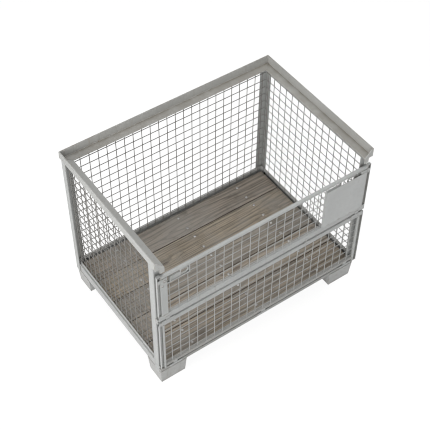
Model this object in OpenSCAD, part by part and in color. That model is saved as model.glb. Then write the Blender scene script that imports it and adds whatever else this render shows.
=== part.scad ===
// Stackable wire-mesh cage on four feet, with two fold-down flaps in its front, all in millimetres.
// +Z is up, the flaps face -Y, and the origin is on the ground under the middle of the cage.

/* [Overall] */
// Length of the rim, left to right
cage_length = 1240; // [1100:10:1400]
// Depth of the rim, front to back
rim_depth = 835; // [760:5:960]
// Height of the rim's top edge above the ground
cage_height = 970; // [940:10:1100]

/* [Rim] */
// Height of the upright lip that guides the feet of a cage stacked on top
lip_height = 50; // [36:1:56]
// Width of the ledge that those feet stand on, lip included
ledge_width = 48; // [40:1:60]
// Thickness of the rim's steel
rim_steel = 4; // [3:0.5:5]
// Height of the flat bars under the ledge that the mesh is welded to
mesh_bar_height = 30; // [20:1:40]
// Height of the tab on each end plate below the ledge
end_tab_height = 30; // [15:1:36]

/* [Posts] */
// Distance from the outside of the rim in to the posts
post_inset = 3; // [2:0.5:4]
// Distance from the front end of the rim back to the front posts
post_setback = 27; // [25:1:36]
// Width of a post's flange that faces the front or the back
post_leg = 46; // [42:1:52]
// Width of its flange on the side of the cage
post_side_leg = 36; // [30:1:42]
// Thickness of the posts' steel
post_steel = 4; // [3:0.5:5]

/* [Base] */
// Height of the feet, which is the room for the forks
foot_height = 100; // [80:5:110]
// Length of a foot on the ground
foot_length = 140; // [100:5:200]
// Depth of a foot on the ground
foot_depth = 105; // [80:5:140]
// How far each side of a foot tapers in from its top to the ground
foot_taper = 7; // [0:1:12]
// Thickness of the feet's steel
foot_steel = 4; // [3:0.5:6]
// Height of the base frame
base_height = 49; // [46:1:50]
// Width of the base frame's bottom flange
base_flange = 40; // [34:1:60]
// Height of the upstand on the base frame that the mesh is welded to
upstand_height = 20; // [12:1:24]
// How far the base frame's front sill is below the tops of its other sides
sill_drop = 3; // [3:1:4]
// How far the front sill reaches out under the flaps
sill_reach = 15; // [12:1:17]
// Depth of the turned-down edge of the front sill
sill_lip = 8; // [6:1:12]
// Thickness of the folded sheet of the base frame and the flaps
fold_steel = 2.5; // [2:0.25:3]

/* [Floor] */
// Number of floor boards
board_count = 5; // [3:1:7]
// Thickness of a floor board
board_thickness = 20; // [16:1:22]
// Gap between two floor boards
board_gap = 3; // [1:0.5:6]
// Height of the bearers under the boards
bearer_height = 22.5; // [18:0.5:24]
// Width of a bearer's top
bearer_width = 52; // [40:1:80]
// Distance from the outside of the rim in to the middle of an outer bearer
bearer_inset = 220; // [150:10:300]

/* [Mesh] */
// Distance between two wires
mesh_pitch = 50; // [40:5:75]
// Diameter of a wire
wire_d = 4; // [3.5:0.25:5]
// Distance from the outside of the rim in to the bars that the mesh is welded to
mesh_inset = 19; // [17:0.5:21]

/* [Flaps] */
// How far the flaps' faces stand in front of the rim's front end
flap_proud = 3; // [1:0.5:5]
// Depth of the flap frames, front to back
flap_depth = 14; // [13:0.5:15]
// Gap between the flaps' ends and the outside of the rim
flap_end_gap = 4; // [3:0.5:5]
// Height of the hinge line between the two flaps
mid_hinge_z = 537.5; // [480:0.5:580]
// Room between a hinge line and the rails beside it
hinge_room = 7.5; // [7:0.5:10]
// Height of the upper flap's bottom rail
upper_rail_height = 35; // [25:1:45]
// Height of the lower flap's top rail
lower_rail_height = 27; // [26:1:40]
// Height of the lower flap's bottom rail
sill_rail_height = 18; // [14:1:30]
// Distance from the rim's top edge down to the top of the upper flap
flap_drop = 104; // [94:1:124]
// Diameter of the tube along the top of the upper flap
top_tube_d = 20; // [18:1:24]
// Wall of that tube
top_tube_wall = 2.5; // [2:0.5:4]
// Width of the open groove down each end of a flap
groove_width = 14; // [12:0.5:16]
// Width of the raised strip beside the groove on the lower flap
lower_strip = 10; // [8:1:20]
// Width of the raised strip beside the groove on the upper flap
upper_strip = 36; // [34:1:44]

/* [Hinges] */
// Radius of a hinge knuckle
knuckle_r = 5; // [4.5:0.25:5.5]
// Radius of a hinge pin
pin_r = 3; // [2:0.25:3.25]
// Running clearance between a pin and its knuckles
pin_play = 0.05; // [0.02:0.01:0.1]
// Distance of a hinge line in front of the flaps' faces
hinge_gap = 3; // [3:0.25:3.5]
// Thickness of a hinge leaf
leaf_steel = 2; // [1.5:0.25:2]
// Length of an outer hinge
hinge_length = 72; // [54:3:90]
// Length of the small strap hinge between the flaps
strap_hinge_length = 25; // [20:1:40]
// Distance of that strap hinge right of the middle
strap_hinge_x = 245; // [150:5:300]

/* [Latches] */
// Height of a latch bolt's flat bar
bolt_height = 36; // [30:1:38]
// Thickness of that bar
bolt_thickness = 6; // [5:0.5:6]
// Length of that bar
bolt_length = 64; // [60:1:70]
// How far a bolt slides from open to locked
bolt_travel = 49; // [44:1:50]
// How far the right bolt stands from open at rest
right_bolt_start = 40; // [0:1:40]
// Sliding clearance round a bolt
bolt_play = 0.5; // [0.3:0.1:0.8]
// Diameter of the round bar of a bolt's loop
loop_bar_d = 8; // [6:0.5:9]
// Distance between the two arms of the loop
loop_width = 33; // [26:1:34]
// Length of the loop
loop_length = 42; // [36:1:50]
// Thickness of the keeper plates on the posts
keeper_steel = 4; // [3:0.5:5]
// Radius of the lower flap's lock pins
lock_pin_r = 3; // [2.5:0.25:3.5]
// How far a lock pin slides
lock_travel = 7; // [5:0.1:7.2]

/* [Sign plate] */
// Width of the bare sign plate
sign_width = 248; // [200:2:300]
// Thickness of its sheet
sign_steel = 2; // [1:0.5:2.5]

/* [Hidden] */

$fn = 48;
paint = [0.66, 0.67, 0.66];
worn_paint = [0.62, 0.62, 0.60];
bare_steel = [0.55, 0.55, 0.54];
board_wood = [0.50, 0.46, 0.40];

// How far two welded wires sink into each other
weld_bite = 0.5;
// A little extra on cutting shapes
cut = 1;

// Planes from left to right
x_rim = cage_length / 2;
x_post = x_rim - post_inset;
x_mesh = x_rim - mesh_inset;
x_base = x_post - post_steel;
x_flap = x_rim - flap_end_gap;

// Planes from front to back
depth_over_all = rim_depth + flap_proud + hinge_gap + knuckle_r;
y_back = depth_over_all / 2;
y_rim_front = y_back - rim_depth;
y_flap = y_rim_front - flap_proud;
y_flap_back = y_flap + flap_depth;
y_hinge = y_flap - hinge_gap;
y_post_front = y_rim_front + post_setback;
y_post_back = y_back - post_inset;
y_mesh = y_back - mesh_inset;
y_base_back = y_post_back - post_steel;
y_base_front = y_rim_front + sill_reach;

// Heights
z_ledge = cage_height - lip_height;
z_base_top = foot_height + base_height;
z_sill = z_base_top - sill_drop;
z_flange = foot_height + fold_steel;
z_boards = z_flange + bearer_height;
z_floor = z_boards + board_thickness;
z_base_hinge = z_sill + knuckle_r + 1;
z_lower_bottom = z_base_hinge + hinge_room + 0.5;
z_lower_top = mid_hinge_z - hinge_room;
z_upper_bottom = mid_hinge_z + hinge_room;
z_tube = cage_height - flap_drop - top_tube_d / 2;
z_tube_bottom = z_tube - top_tube_d / 2;
y_tube = y_flap + top_tube_d / 2 - 1;

half_fold = fold_steel / 2;
y_face_mid = y_flap + half_fold;
y_web_mid = y_flap_back - half_fold;
x_outer_mid = x_flap - half_fold;
x_fold_mid = x_outer_mid - groove_width - fold_steel;

// The latch bolts lie in the flap frame, level with the tube's underside
bolt_y = y_flap + 11;
z_bolt = z_tube_bottom - 20 - bolt_height;
z_bolt_top = z_bolt + bolt_height;
x_keeper = x_fold_mid - half_fold - 5 - keeper_steel;
x_bolt_locked = x_keeper + keeper_steel + 4;
x_bolt_open = x_bolt_locked - bolt_travel;
x_guide_end = x_bolt_open - bolt_length - loop_length - bolt_play;
z_guide = z_bolt - bolt_play - fold_steel;
guide_wall = 10;
bar_stop = 5;

// The lock pins slide in the lower flap's ears, behind its top rail, into blocks on the front posts
lock_y = (y_flap_back + y_post_front) / 2;
lock_z = z_lower_top - 10;
block_width = 15;
x_block = x_flap - block_width;
ear_steel = 3;
x_ears = [x_post - post_leg - ear_steel - 2, x_block - ear_steel - 4];
stop_gap = 0.4;

// Turns a vector by an angle
function turn(v, a) = [v[0] * cos(a) - v[1] * sin(a), v[0] * sin(a) + v[1] * cos(a)];
function unit(v) = v / norm(v);
function left_of(v) = [-v[1], v[0]];
function last(list) = list[len(list) - 1];

// Middle line of a folded sheet as [point, direction] pairs, with each corner of the path an arc
bend_steps = 4;
function bend_at(a, b, c, r) =
    let (u = unit(b - a), v = unit(c - b),
         angle = atan2(u[0] * v[1] - u[1] * v[0], u * v),
         side = sign(angle),
         start = b - u * r * tan(abs(angle) / 2),
         centre = start + left_of(u) * r * side)
    [for (i = [0:bend_steps])
        let (d = turn(u, angle * i / bend_steps)) [centre - left_of(d) * r * side, d]];
function middle_line(path, r) = concat(
    [[path[0], unit(path[1] - path[0])]],
    [for (i = [1:len(path) - 2], p = bend_at(path[i - 1], path[i], path[i + 1], r)) p],
    [[last(path), unit(last(path) - path[len(path) - 2])]]);

// Section of a sheet of thickness t folded along a path, with a bend radius of one thickness
module folded(path, t) {
    line = middle_line(path, t);
    polygon(concat(
        [for (p = line) p[0] + left_of(p[1]) * t / 2],
        [for (i = [len(line) - 1:-1:0]) line[i][0] - left_of(line[i][1]) * t / 2]));
}

// Stands a section given in X and Z along Y, or one given in Y and Z along X
module along_y(y0, y1) translate([0, y1, 0]) rotate([90, 0, 0]) linear_extrude(y1 - y0) children();
module along_x(x0, x1) translate([x0, 0, 0]) rotate([90, 0, 90]) linear_extrude(x1 - x0) children();

module box(low, high) translate(low) cube(high - low);
module flip_x(on) if (on) mirror([1, 0, 0]) children(); else children();

// A box with sloping sides, from its rectangle [x0, y0, x1, y1] at z0 to another at z1
module frustum(low, high, z0, z1) {
    intersection() {
        along_y(min(low[1], high[1]), max(low[3], high[3]))
            polygon([[low[0], z0], [low[2], z0], [high[2], z1], [high[0], z1]]);
        along_x(min(low[0], high[0]), max(low[2], high[2]))
            polygon([[low[1], z0], [low[3], z0], [high[3], z1], [high[1], z1]]);
    }
}

// Feet: open-topped tapered cups of pressed steel
function grown(r, d) = [r[0] - d, r[1] - d, r[2] + d, r[3] + d];
module foot(front) {
    x1 = x_base - foot_taper;
    y0 = front ? y_base_front + foot_taper : y_base_back - foot_taper - foot_depth;
    ground = [x1 - foot_length, y0, x1, y0 + foot_depth];
    top = grown(ground, foot_taper);
    slope = foot_taper / foot_height;
    color(paint) difference() {
        frustum(ground, top, 0, foot_height);
        frustum(grown(ground, foot_steel * slope - foot_steel), grown(top, cut * slope - foot_steel),
                foot_steel, foot_height + cut);
    }
}

// Posts: folded angles, open towards the inside of the cage, that lap the outside of the base frame
module post_section(y_out, inward) {
    mid = post_steel / 2;
    folded([[x_post - post_leg, y_out + inward * mid], [x_post - mid, y_out + inward * mid],
            [x_post - mid, y_out + inward * post_side_leg]], post_steel);
}
module post_front() {
    color(paint) difference() {
        translate([0, 0, z_flange]) linear_extrude(z_ledge - z_flange) post_section(y_post_front, 1);
        // Its front flange stands on the base frame
        box([x_post - post_leg - cut, y_post_front - cut, foot_height],
            [x_base, y_post_front + post_side_leg + cut, z_base_top]);
    }
}
module post_back() {
    color(paint) difference() {
        translate([0, 0, z_flange]) linear_extrude(z_ledge - z_flange) post_section(y_post_back, -1);
        box([x_post - post_leg - cut, y_post_back - post_side_leg - cut, foot_height],
            [x_base, y_base_back, z_base_top]);
    }
}

// Base frame: the sides and the back are the same folded channel with an upstand for the mesh
module base_section(out, mesh) {
    web = out - half_fold;
    stand = mesh + half_fold;
    bottom = foot_height + half_fold;
    top = z_base_top - half_fold;
    folded([[out - base_flange, bottom], [web, bottom], [web, top], [stand, top],
            [stand, z_base_top + upstand_height]], fold_steel);
}
// Plan of the mitred bottom corners, seen from above
module base_plan_side() {
    f = base_flange;
    polygon([[x_base + cut, y_base_front], [x_base, y_base_front], [x_base - f, y_base_front + f],
             [x_base - f, y_base_back - f], [x_base, y_base_back], [x_base + cut, y_base_back]]);
}
module base_rail_side() {
    slot = 6;
    color(paint) difference() {
        intersection() {
            along_y(y_base_front, y_base_back) base_section(x_base, x_mesh);
            linear_extrude(z_base_top + upstand_height) base_plan_side();
        }
        // The top flange starts at the front post, and the upstand behind it
        box([x_mesh - cut, y_base_front - cut, z_sill], [x_base + cut, y_post_front, cage_height]);
        box([x_mesh - cut, y_base_front - cut, z_base_top],
            [x_base + cut, y_post_front + post_steel + 1, cage_height]);
        // Drain slots beside the posts
        for (y = [y_post_front + post_side_leg + 1, y_post_back - post_side_leg - 1 - slot])
            box([x_base - 2 * fold_steel, y, z_flange + 2], [x_base + cut, y + slot, z_sill - 4]);
    }
}
module base_plan_back() {
    f = base_flange;
    polygon([[-x_base, y_base_back], [-x_base + f, y_base_back - f], [x_base - f, y_base_back - f],
             [x_base, y_base_back], [x_base, y_base_back + cut], [-x_base, y_base_back + cut]]);
}
module base_rail_back() {
    color(paint) intersection() {
        along_x(-x_base, x_base) base_section(y_base_back, y_mesh);
        linear_extrude(z_base_top + upstand_height) base_plan_back();
    }
}
// The front rail turns out into a sill under the flaps
module base_rail_front() {
    web = y_base_front + half_fold;
    bottom = foot_height + half_fold;
    top = z_sill - half_fold;
    lip = y_base_front - sill_reach + half_fold;
    f = base_flange;
    color(paint) intersection() {
        along_x(-x_rim, x_rim)
            folded([[y_base_front + f, bottom], [web, bottom], [web, top], [lip, top], [lip, z_sill - sill_lip]],
                   fold_steel);
        linear_extrude(z_base_top)
            polygon([[-x_rim, y_base_front - 2 * sill_reach], [x_rim, y_base_front - 2 * sill_reach],
                     [x_rim, y_base_front], [x_base, y_base_front], [x_base - f, y_base_front + f],
                     [f - x_base, y_base_front + f], [-x_base, y_base_front], [-x_rim, y_base_front]]);
    }
}

// Bearers: hat sections from the front rail to the back rail, standing on their bottom flanges
bearer_foot = 15;
bearer_spacing = x_rim - bearer_inset;
module bearer(x) {
    half = bearer_width / 2 - half_fold;
    low = z_flange + half_fold;
    end_gap = fold_steel + half_fold;
    color(worn_paint) along_y(y_base_front + end_gap, y_base_back - end_gap)
        folded([[x - half - bearer_foot, low], [x - half, low], [x - half, z_boards - half_fold],
                [x + half, z_boards - half_fold], [x + half, low], [x + half + bearer_foot, low]], fold_steel);
}

// Floor boards run from left to right, under the front posts' flanges
x_board = x_mesh - 2 * wire_d + weld_bite - 1;
y_floor_front = y_base_front + fold_steel + 2;
y_floor_back = y_mesh - 2 * wire_d + weld_bite - 1;
board_width = (y_floor_back - y_floor_front - (board_count - 1) * board_gap) / board_count;
function board_y(i) = y_floor_front + (i - 1) * (board_width + board_gap);
module floor_board(i) {
    color(board_wood) box([-x_board, board_y(i), z_boards], [x_board, board_y(i) + board_width, z_floor]);
}
floor_bolt_r = 8;
module floor_bolts() {
    color(bare_steel)
        for (x = [-1, 0, 1] * bearer_spacing, i = [1:board_count], end = [0.22, 0.78])
            translate([x, board_y(i) + end * board_width, z_floor])
                rotate_extrude() polygon([[0, 0], [floor_bolt_r, 0], [floor_bolt_r - 1, 1], [floor_bolt_r / 2, 2.2], [0, 2.6]]);
}

// Rim: an angle whose lip stands up outside and whose ledge reaches in, mitred at the back corners
module rim_section(out) {
    mid = rim_steel / 2;
    folded([[out - mid, cage_height], [out - mid, z_ledge + mid], [out - ledge_width, z_ledge + mid]], rim_steel);
}
module rim_side() {
    y0 = y_rim_front + rim_steel;
    color(paint) intersection() {
        along_y(y0, y_back) rim_section(x_rim);
        linear_extrude(cage_height)
            polygon([[x_rim, y0], [x_rim, y_back], [x_rim - ledge_width, y_back - ledge_width],
                     [x_rim - ledge_width, y0]]);
    }
}
module rim_back() {
    color(paint) intersection() {
        along_x(-x_rim, x_rim) rim_section(y_back);
        linear_extrude(cage_height)
            polygon([[-x_rim, y_back], [ledge_width - x_rim, y_back - ledge_width],
                     [x_rim - ledge_width, y_back - ledge_width], [x_rim, y_back]]);
    }
}
// End plates close the rim's open front ends, so that a stacked cage can't slide off forwards
module rim_end() {
    lip_top = 2 * rim_steel;
    x_in = x_rim - ledge_width;
    x_step = x_rim - ledge_width / 2;
    color(paint) along_y(y_rim_front, y_rim_front + rim_steel)
        polygon([[x_rim, cage_height], [x_rim - lip_top, cage_height], [x_in, z_ledge + rim_steel],
                 [x_in, z_ledge - end_tab_height], [x_step, z_ledge - end_tab_height],
                 [x_step, z_ledge], [x_rim, z_ledge]]);
}
module mesh_bar_side() {
    color(paint) box([x_mesh, y_post_front + post_steel, z_ledge - mesh_bar_height],
                     [x_mesh + post_steel, y_mesh, z_ledge]);
}
module mesh_bar_back() {
    x1 = x_mesh + post_steel;
    color(paint) box([-x1, y_mesh, z_ledge - mesh_bar_height], [x1, y_mesh + post_steel, z_ledge]);
}

// Welded mesh: upright wires at each u in a list, level wires at each z in another.
// The panel's own X runs along it, and the upright wires are the layer at y = 0.
module wire(length) cylinder(d = wire_d, h = length, $fn = 16);
module mesh_panel(us, u0, u1, zs, z0, z1, layer) {
    for (u = us) translate([u, 0, z0]) wire(z1 - z0);
    for (z = zs) translate([u0, layer * (wire_d - weld_bite), z]) rotate([0, 90, 0]) wire(u1 - u0);
}
// Wire places at one pitch, centred between two ends with at least an edge of free wire
function places(a, b, edge) =
    let (n = floor((b - a - 2 * edge) / mesh_pitch), start = (a + b - n * mesh_pitch) / 2)
    [for (i = [0:n]) start + i * mesh_pitch];

mesh_z0 = z_base_top + 2;
mesh_z1 = z_ledge - 3;
wall_rows = places(mesh_z0, mesh_z1, 12);
module mesh_side() {
    y0 = y_post_front + post_steel;
    y1 = y_mesh - 2 * wire_d - 2;
    color(paint) translate([x_mesh - wire_d / 2, 0, 0]) rotate([0, 0, 90])
        mesh_panel(places(y0, y1, 6), y0, y1, wall_rows, mesh_z0, mesh_z1, 1);
}
module mesh_back() {
    x1 = x_mesh - 2 * wire_d - 2;
    color(paint) translate([0, y_mesh - wire_d / 2, 0])
        mesh_panel(places(-x1, x1, 6), -x1, x1, wall_rows, mesh_z0, mesh_z1, -1);
}

// Keepers: plates on the front posts that the latch bolts pass through, with a block below for each
// lock pin, which is also the lower flap's stop
module keeper() {
    tip = y_flap + fold_steel + 1.5;
    hole = lock_pin_r + 1;
    color(paint) difference() {
        box([x_keeper, tip, z_bolt - 8], [x_keeper + keeper_steel, y_post_front, z_bolt_top + 8]);
        bolt_hole(x_keeper - cut, x_keeper + keeper_steel + cut);
    }
    color(paint) difference() {
        box([x_block, y_flap_back + stop_gap, lock_z - 2 * hole], [x_flap, y_post_front, z_upper_bottom - cut]);
        box([x_block - cut, lock_y - hole, lock_z - hole], [x_block + lock_travel + 1, lock_y + hole, lock_z + hole]);
    }
}
module bolt_hole(x0, x1) {
    half = bolt_thickness / 2 + bolt_play;
    box([x0, bolt_y - half, z_bolt - bolt_play], [x1, bolt_y + half, z_bolt_top + bolt_play]);
}

// Hinges: knuckles along X about a hinge line, some carried by one side and some by the other
side_gap = 0.3;
module knuckle(x0, x1, z) translate([x0, y_hinge, z]) rotate([0, 90, 0]) cylinder(r = knuckle_r, h = x1 - x0);
module knuckle_bore(x0, x1, z)
    translate([x0 - cut, y_hinge, z]) rotate([0, 90, 0]) cylinder(r = pin_r + pin_play, h = x1 - x0 + 2 * cut);
// A leaf on a rail's face, with its knuckle; up is 1 where the rail is above the hinge line
module face_leaf(x0, x1, z, up, length) {
    reach = hinge_room + length;
    difference() {
        union() {
            knuckle(x0, x1, z);
            box([x0, y_flap - leaf_steel, min(z, z + up * reach)], [x1, y_flap, max(z, z + up * reach)]);
        }
        knuckle_bore(x0, x1, z);
    }
}
// Thirds of a hinge from x0 to x1: the outer two, or the middle one
function outer_thirds(x0, x1) = let (t = (x1 - x0) / 3) [[x0, x0 + t], [x1 - t, x1]];
function middle_third(x0, x1) = let (t = (x1 - x0) / 3) [x0 + t + side_gap, x1 - t - side_gap];

mid_hinge_end = x_fold_mid + half_fold + 4;
mid_hinges = [[-mid_hinge_end, hinge_length - mid_hinge_end], [mid_hinge_end - hinge_length, mid_hinge_end],
              [strap_hinge_x - strap_hinge_length / 2, strap_hinge_x + strap_hinge_length / 2]];
base_hinge_x = x_fold_mid - upper_strip - 25;
base_hinges = [for (x = [-base_hinge_x, 0, base_hinge_x]) [x - hinge_length / 2, x + hinge_length / 2]];
leaf_length = 16;

module base_hinge_knuckles() {
    color(paint) for (h = base_hinges, k = outer_thirds(h[0], h[1]))
        difference() {
            union() {
                knuckle(k[0], k[1], z_base_hinge);
                box([k[0], y_hinge - knuckle_r / 2, z_sill], [k[1], y_base_front - 4, z_sill + leaf_steel + 0.5]);
            }
            knuckle_bore(k[0], k[1], z_base_hinge);
        }
}
module hinge_pins(hinges, z) {
    color(bare_steel) for (h = hinges)
        translate([h[0], y_hinge, z]) rotate([0, 90, 0]) cylinder(r = pin_r, h = h[1] - h[0]);
}
module lower_hinge_knuckles() {
    color(paint) for (h = base_hinges) {
        k = middle_third(h[0], h[1]);
        face_leaf(k[0], k[1], z_base_hinge, 1, sill_rail_height - 2);
    }
}
module lower_mid_knuckles() {
    color(paint) for (h = mid_hinges, k = outer_thirds(h[0], h[1])) face_leaf(k[0], k[1], mid_hinge_z, -1, leaf_length);
}
module upper_mid_knuckles() {
    color(paint) for (h = mid_hinges) {
        k = middle_third(h[0], h[1]);
        face_leaf(k[0], k[1], mid_hinge_z, 1, leaf_length);
    }
}

// Flap rails: channels along X, open to the back
module flap_rail(x0, x1, z0, z1) {
    color(paint) along_x(x0, x1)
        folded([[y_flap_back, z0 + half_fold], [y_face_mid, z0 + half_fold],
                [y_face_mid, z1 - half_fold], [y_flap_back, z1 - half_fold]], fold_steel);
}
// Ends of a flap: a folded section with an open groove outside and a raised strip beside it
module flap_side(strip, z0, z1) {
    x_return = x_fold_mid - strip;
    color(paint) translate([0, 0, z0]) linear_extrude(z1 - z0)
        folded([[x_return, y_flap_back], [x_return, y_face_mid], [x_fold_mid, y_face_mid],
                [x_fold_mid, y_web_mid], [x_outer_mid, y_web_mid], [x_outer_mid, y_flap]], fold_steel);
}

// Wires of a flap's mesh: one upright in the middle of the cage, and the lowest level one just above the rail
row_start = 16;
function flap_columns(a, b) = [for (i = [ceil((a + 8) / mesh_pitch):floor((b - 8) / mesh_pitch)]) i * mesh_pitch];
function flap_rows(a, b) = [for (z = [a + row_start:mesh_pitch:b - 6]) z];

// Lower flap
z_lower_rail = z_lower_top - lower_rail_height;
x_lower_return = x_fold_mid - lower_strip - half_fold;
z_sill_rail_top = z_lower_bottom + sill_rail_height;
module lower_top_rail() flap_rail(-x_flap, x_flap, z_lower_rail, z_lower_top);
module lower_bottom_rail() flap_rail(-x_lower_return, x_lower_return, z_lower_bottom, z_sill_rail_top);
module lower_side() flap_side(lower_strip, z_sill + 4, z_lower_rail);
flap_wire_y = y_flap + 3 + wire_d / 2;
module lower_mesh() {
    color(paint) translate([0, flap_wire_y, 0])
        mesh_panel(flap_columns(-x_lower_return, x_lower_return), -x_lower_return, x_lower_return,
                   flap_rows(z_sill_rail_top, z_lower_rail), z_sill_rail_top, z_lower_rail, 1);
}
// Ears reach back from inside the top rail, two for each lock pin
module lock_ear() {
    low = z_lower_rail + fold_steel;
    high = z_lower_top - fold_steel;
    y0 = y_flap + fold_steel;
    y1 = y_post_front - 1.5;
    corner = half_fold;
    color(paint) for (x = x_ears) difference() {
        along_x(x, x + ear_steel)
            polygon([[y0, low + corner], [y0 + corner, low], [y1 - 2, low], [y1, low + 2],
                     [y1, high - 2], [y1 - 2, high], [y0 + corner, high], [y0, high - corner]]);
        translate([x - cut, lock_y, lock_z]) rotate([0, 90, 0])
            cylinder(r = lock_pin_r + bolt_play / 2, h = ear_steel + 2 * cut);
    }
}
lock_knob_r = 7;
knob_length = 6;
module lock_pin() {
    tip = x_block - 1;
    knob = x_ears[0] - lock_travel - 0.2;
    color(bare_steel) translate([0, lock_y, lock_z]) rotate([0, 90, 0]) {
        translate([0, 0, knob]) cylinder(r = lock_pin_r, h = tip - knob);
        translate([0, 0, knob - knob_length]) cylinder(r = lock_knob_r, h = knob_length);
    }
}

// Upper flap
z_upper_rail_top = z_upper_bottom + upper_rail_height;
x_upper_return = x_fold_mid - upper_strip - half_fold;
z_corner = z_tube + top_tube_d / 2 + 6;
corner_plate = 27;
module upper_bottom_rail() flap_rail(-x_flap, x_flap, z_upper_bottom, z_upper_rail_top);
module upper_top_tube() {
    x1 = x_fold_mid - half_fold;
    color(paint) translate([-x1, y_tube, z_tube]) rotate([0, 90, 0]) difference() {
        cylinder(d = top_tube_d, h = 2 * x1);
        translate([0, 0, -cut]) cylinder(d = top_tube_d - 2 * top_tube_wall, h = 2 * x1 + 2 * cut);
    }
}
module upper_side() {
    difference() {
        flap_side(upper_strip, z_upper_rail_top, z_tube_bottom);
        bolt_hole(x_upper_return - cut, x_upper_return + fold_steel + cut);
    }
    // The groove runs on past the tube's end, closed by a cap and a short front plate
    color(paint) {
        translate([0, 0, z_tube_bottom]) linear_extrude(z_corner - z_tube_bottom)
            folded([[x_fold_mid, y_flap], [x_fold_mid, y_web_mid], [x_outer_mid, y_web_mid],
                    [x_outer_mid, y_flap]], fold_steel);
        box([x_fold_mid - half_fold, y_flap, z_corner - fold_steel], [x_flap, y_flap_back, z_corner]);
        box([x_fold_mid, y_flap, z_tube_bottom - corner_plate], [x_outer_mid, y_flap + fold_steel, z_tube_bottom]);
    }
}

// Sign plate: a bare shallow pan that closes the right end of the upper flap
z_sign_top = z_bolt_top + 2;
x_sign_right = x_fold_mid - 4;
x_sign = x_sign_right - sign_width;
edge_bar = 8;
module sign_plate() {
    y_rim_of_pan = y_flap_back - 2;
    color(paint) difference() {
        box([x_sign, y_flap - sign_steel, z_upper_rail_top], [x_upper_return, y_rim_of_pan, z_sign_top]);
        box([x_sign + sign_steel, y_flap, z_upper_rail_top + sign_steel],
            [x_upper_return + cut, y_rim_of_pan + cut, z_sign_top - sign_steel]);
        // Finger room behind the top edge for the right bolt's loop
        box([x_guide_end - bar_stop - cut, y_flap, z_sign_top - 2 * sign_steel],
            [x_upper_return + cut, y_flap_back, z_sign_top + cut]);
    }
    color(paint) box([x_upper_return, y_flap - sign_steel, z_upper_rail_top], [x_sign_right, y_flap, z_sign_top]);
    // Upright flat bar at its left edge, from the rail to the tube
    color(paint) box([x_sign - edge_bar, y_flap, z_upper_rail_top], [x_sign, y_flap + 3, z_tube_bottom + 1]);
}

// Mesh of the upper flap: its first upright wires stop under the left latch guide
module upper_mesh() {
    cols = flap_columns(-x_upper_return, x_sign);
    rows = flap_rows(z_upper_rail_top, z_tube_bottom);
    slot_x = bar_stop - x_guide_end;
    color(paint) translate([0, flap_wire_y, 0]) {
        mesh_panel([for (x = cols) if (x > slot_x) x], slot_x, x_sign,
                   [for (z = rows) if (z > z_guide) z], z_upper_rail_top, z_tube_bottom, 1);
        mesh_panel([for (x = cols) if (x < slot_x) x], -x_upper_return, x_sign,
                   [for (z = rows) if (z < z_guide) z], z_upper_rail_top, z_guide, 1);
    }
}

// Latch guides: an upright channel for the bolt's lower edge, a strap over it and an end bar.
// The strap ends short of where the bolt's pull loop stands when it is locked.
pull_bar = 6;
x_strap_end = x_bolt_open - 1;
x_strap = x_bolt_locked - bolt_length + pull_bar + 1;
module latch_guide() {
    side = bolt_thickness / 2 + bolt_play + half_fold;
    low = z_guide + half_fold;
    high = z_bolt_top + 1 + half_fold;
    color(paint) {
        along_x(x_guide_end, x_upper_return)
            folded([[bolt_y + side, z_guide + guide_wall], [bolt_y + side, low],
                    [bolt_y - side, low], [bolt_y - side, z_guide + guide_wall]], fold_steel);
        along_x(x_strap, x_strap_end)
            folded([[bolt_y + side, z_guide + guide_wall], [bolt_y + side, high],
                    [bolt_y - side, high], [bolt_y - side, z_guide + guide_wall]], fold_steel);
        box([x_guide_end - bar_stop, bolt_y - side, z_guide], [x_guide_end, bolt_y + side, z_tube_bottom]);
    }
}
stud_h = 4;
module latch_studs() {
    for (s = [[-x_keeper + 12, z_bolt_top - 1, 10], [-x_keeper, z_bolt + 7, 6]])
        color(bare_steel) translate([s[0], y_flap, s[1]]) rotate([90, 0, 0])
            rotate_extrude() polygon([[0, 0], [s[2], 0], [s[2] - 1, stud_h - 1.5], [s[2] * 0.6, stud_h], [0, stud_h]]);
}

// Latch bolt at its open place on the right: a flat bar with a loop to pull it by
module latch_bolt(slide) {
    arm_r = loop_width / 2;
    x_in = x_bolt_open - bolt_length;
    z_low = z_guide + guide_wall + loop_bar_d / 2 + 1.5;
    arc_x = x_in - loop_length + loop_bar_d / 2 + arm_r;
    half = bolt_thickness / 2;
    color(worn_paint) translate([slide, 0, 0]) {
        box([x_in, bolt_y - half, z_bolt], [x_bolt_open, bolt_y + half, z_bolt_top]);
        box([x_in, bolt_y - half, z_low - loop_bar_d / 2 - 1],
            [x_in + pull_bar, bolt_y + half, z_low + loop_width + loop_bar_d / 2 + 1]);
        for (z = [z_low, z_low + loop_width])
            translate([arc_x, bolt_y, z]) rotate([0, 90, 0]) cylinder(d = loop_bar_d, h = x_in + half - arc_x);
        translate([arc_x, bolt_y, z_low + arm_r]) rotate([90, 0, 0]) rotate([0, 0, 90])
            rotate_extrude(angle = 180) translate([arm_r, 0]) circle(d = loop_bar_d);
    }
}

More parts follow.
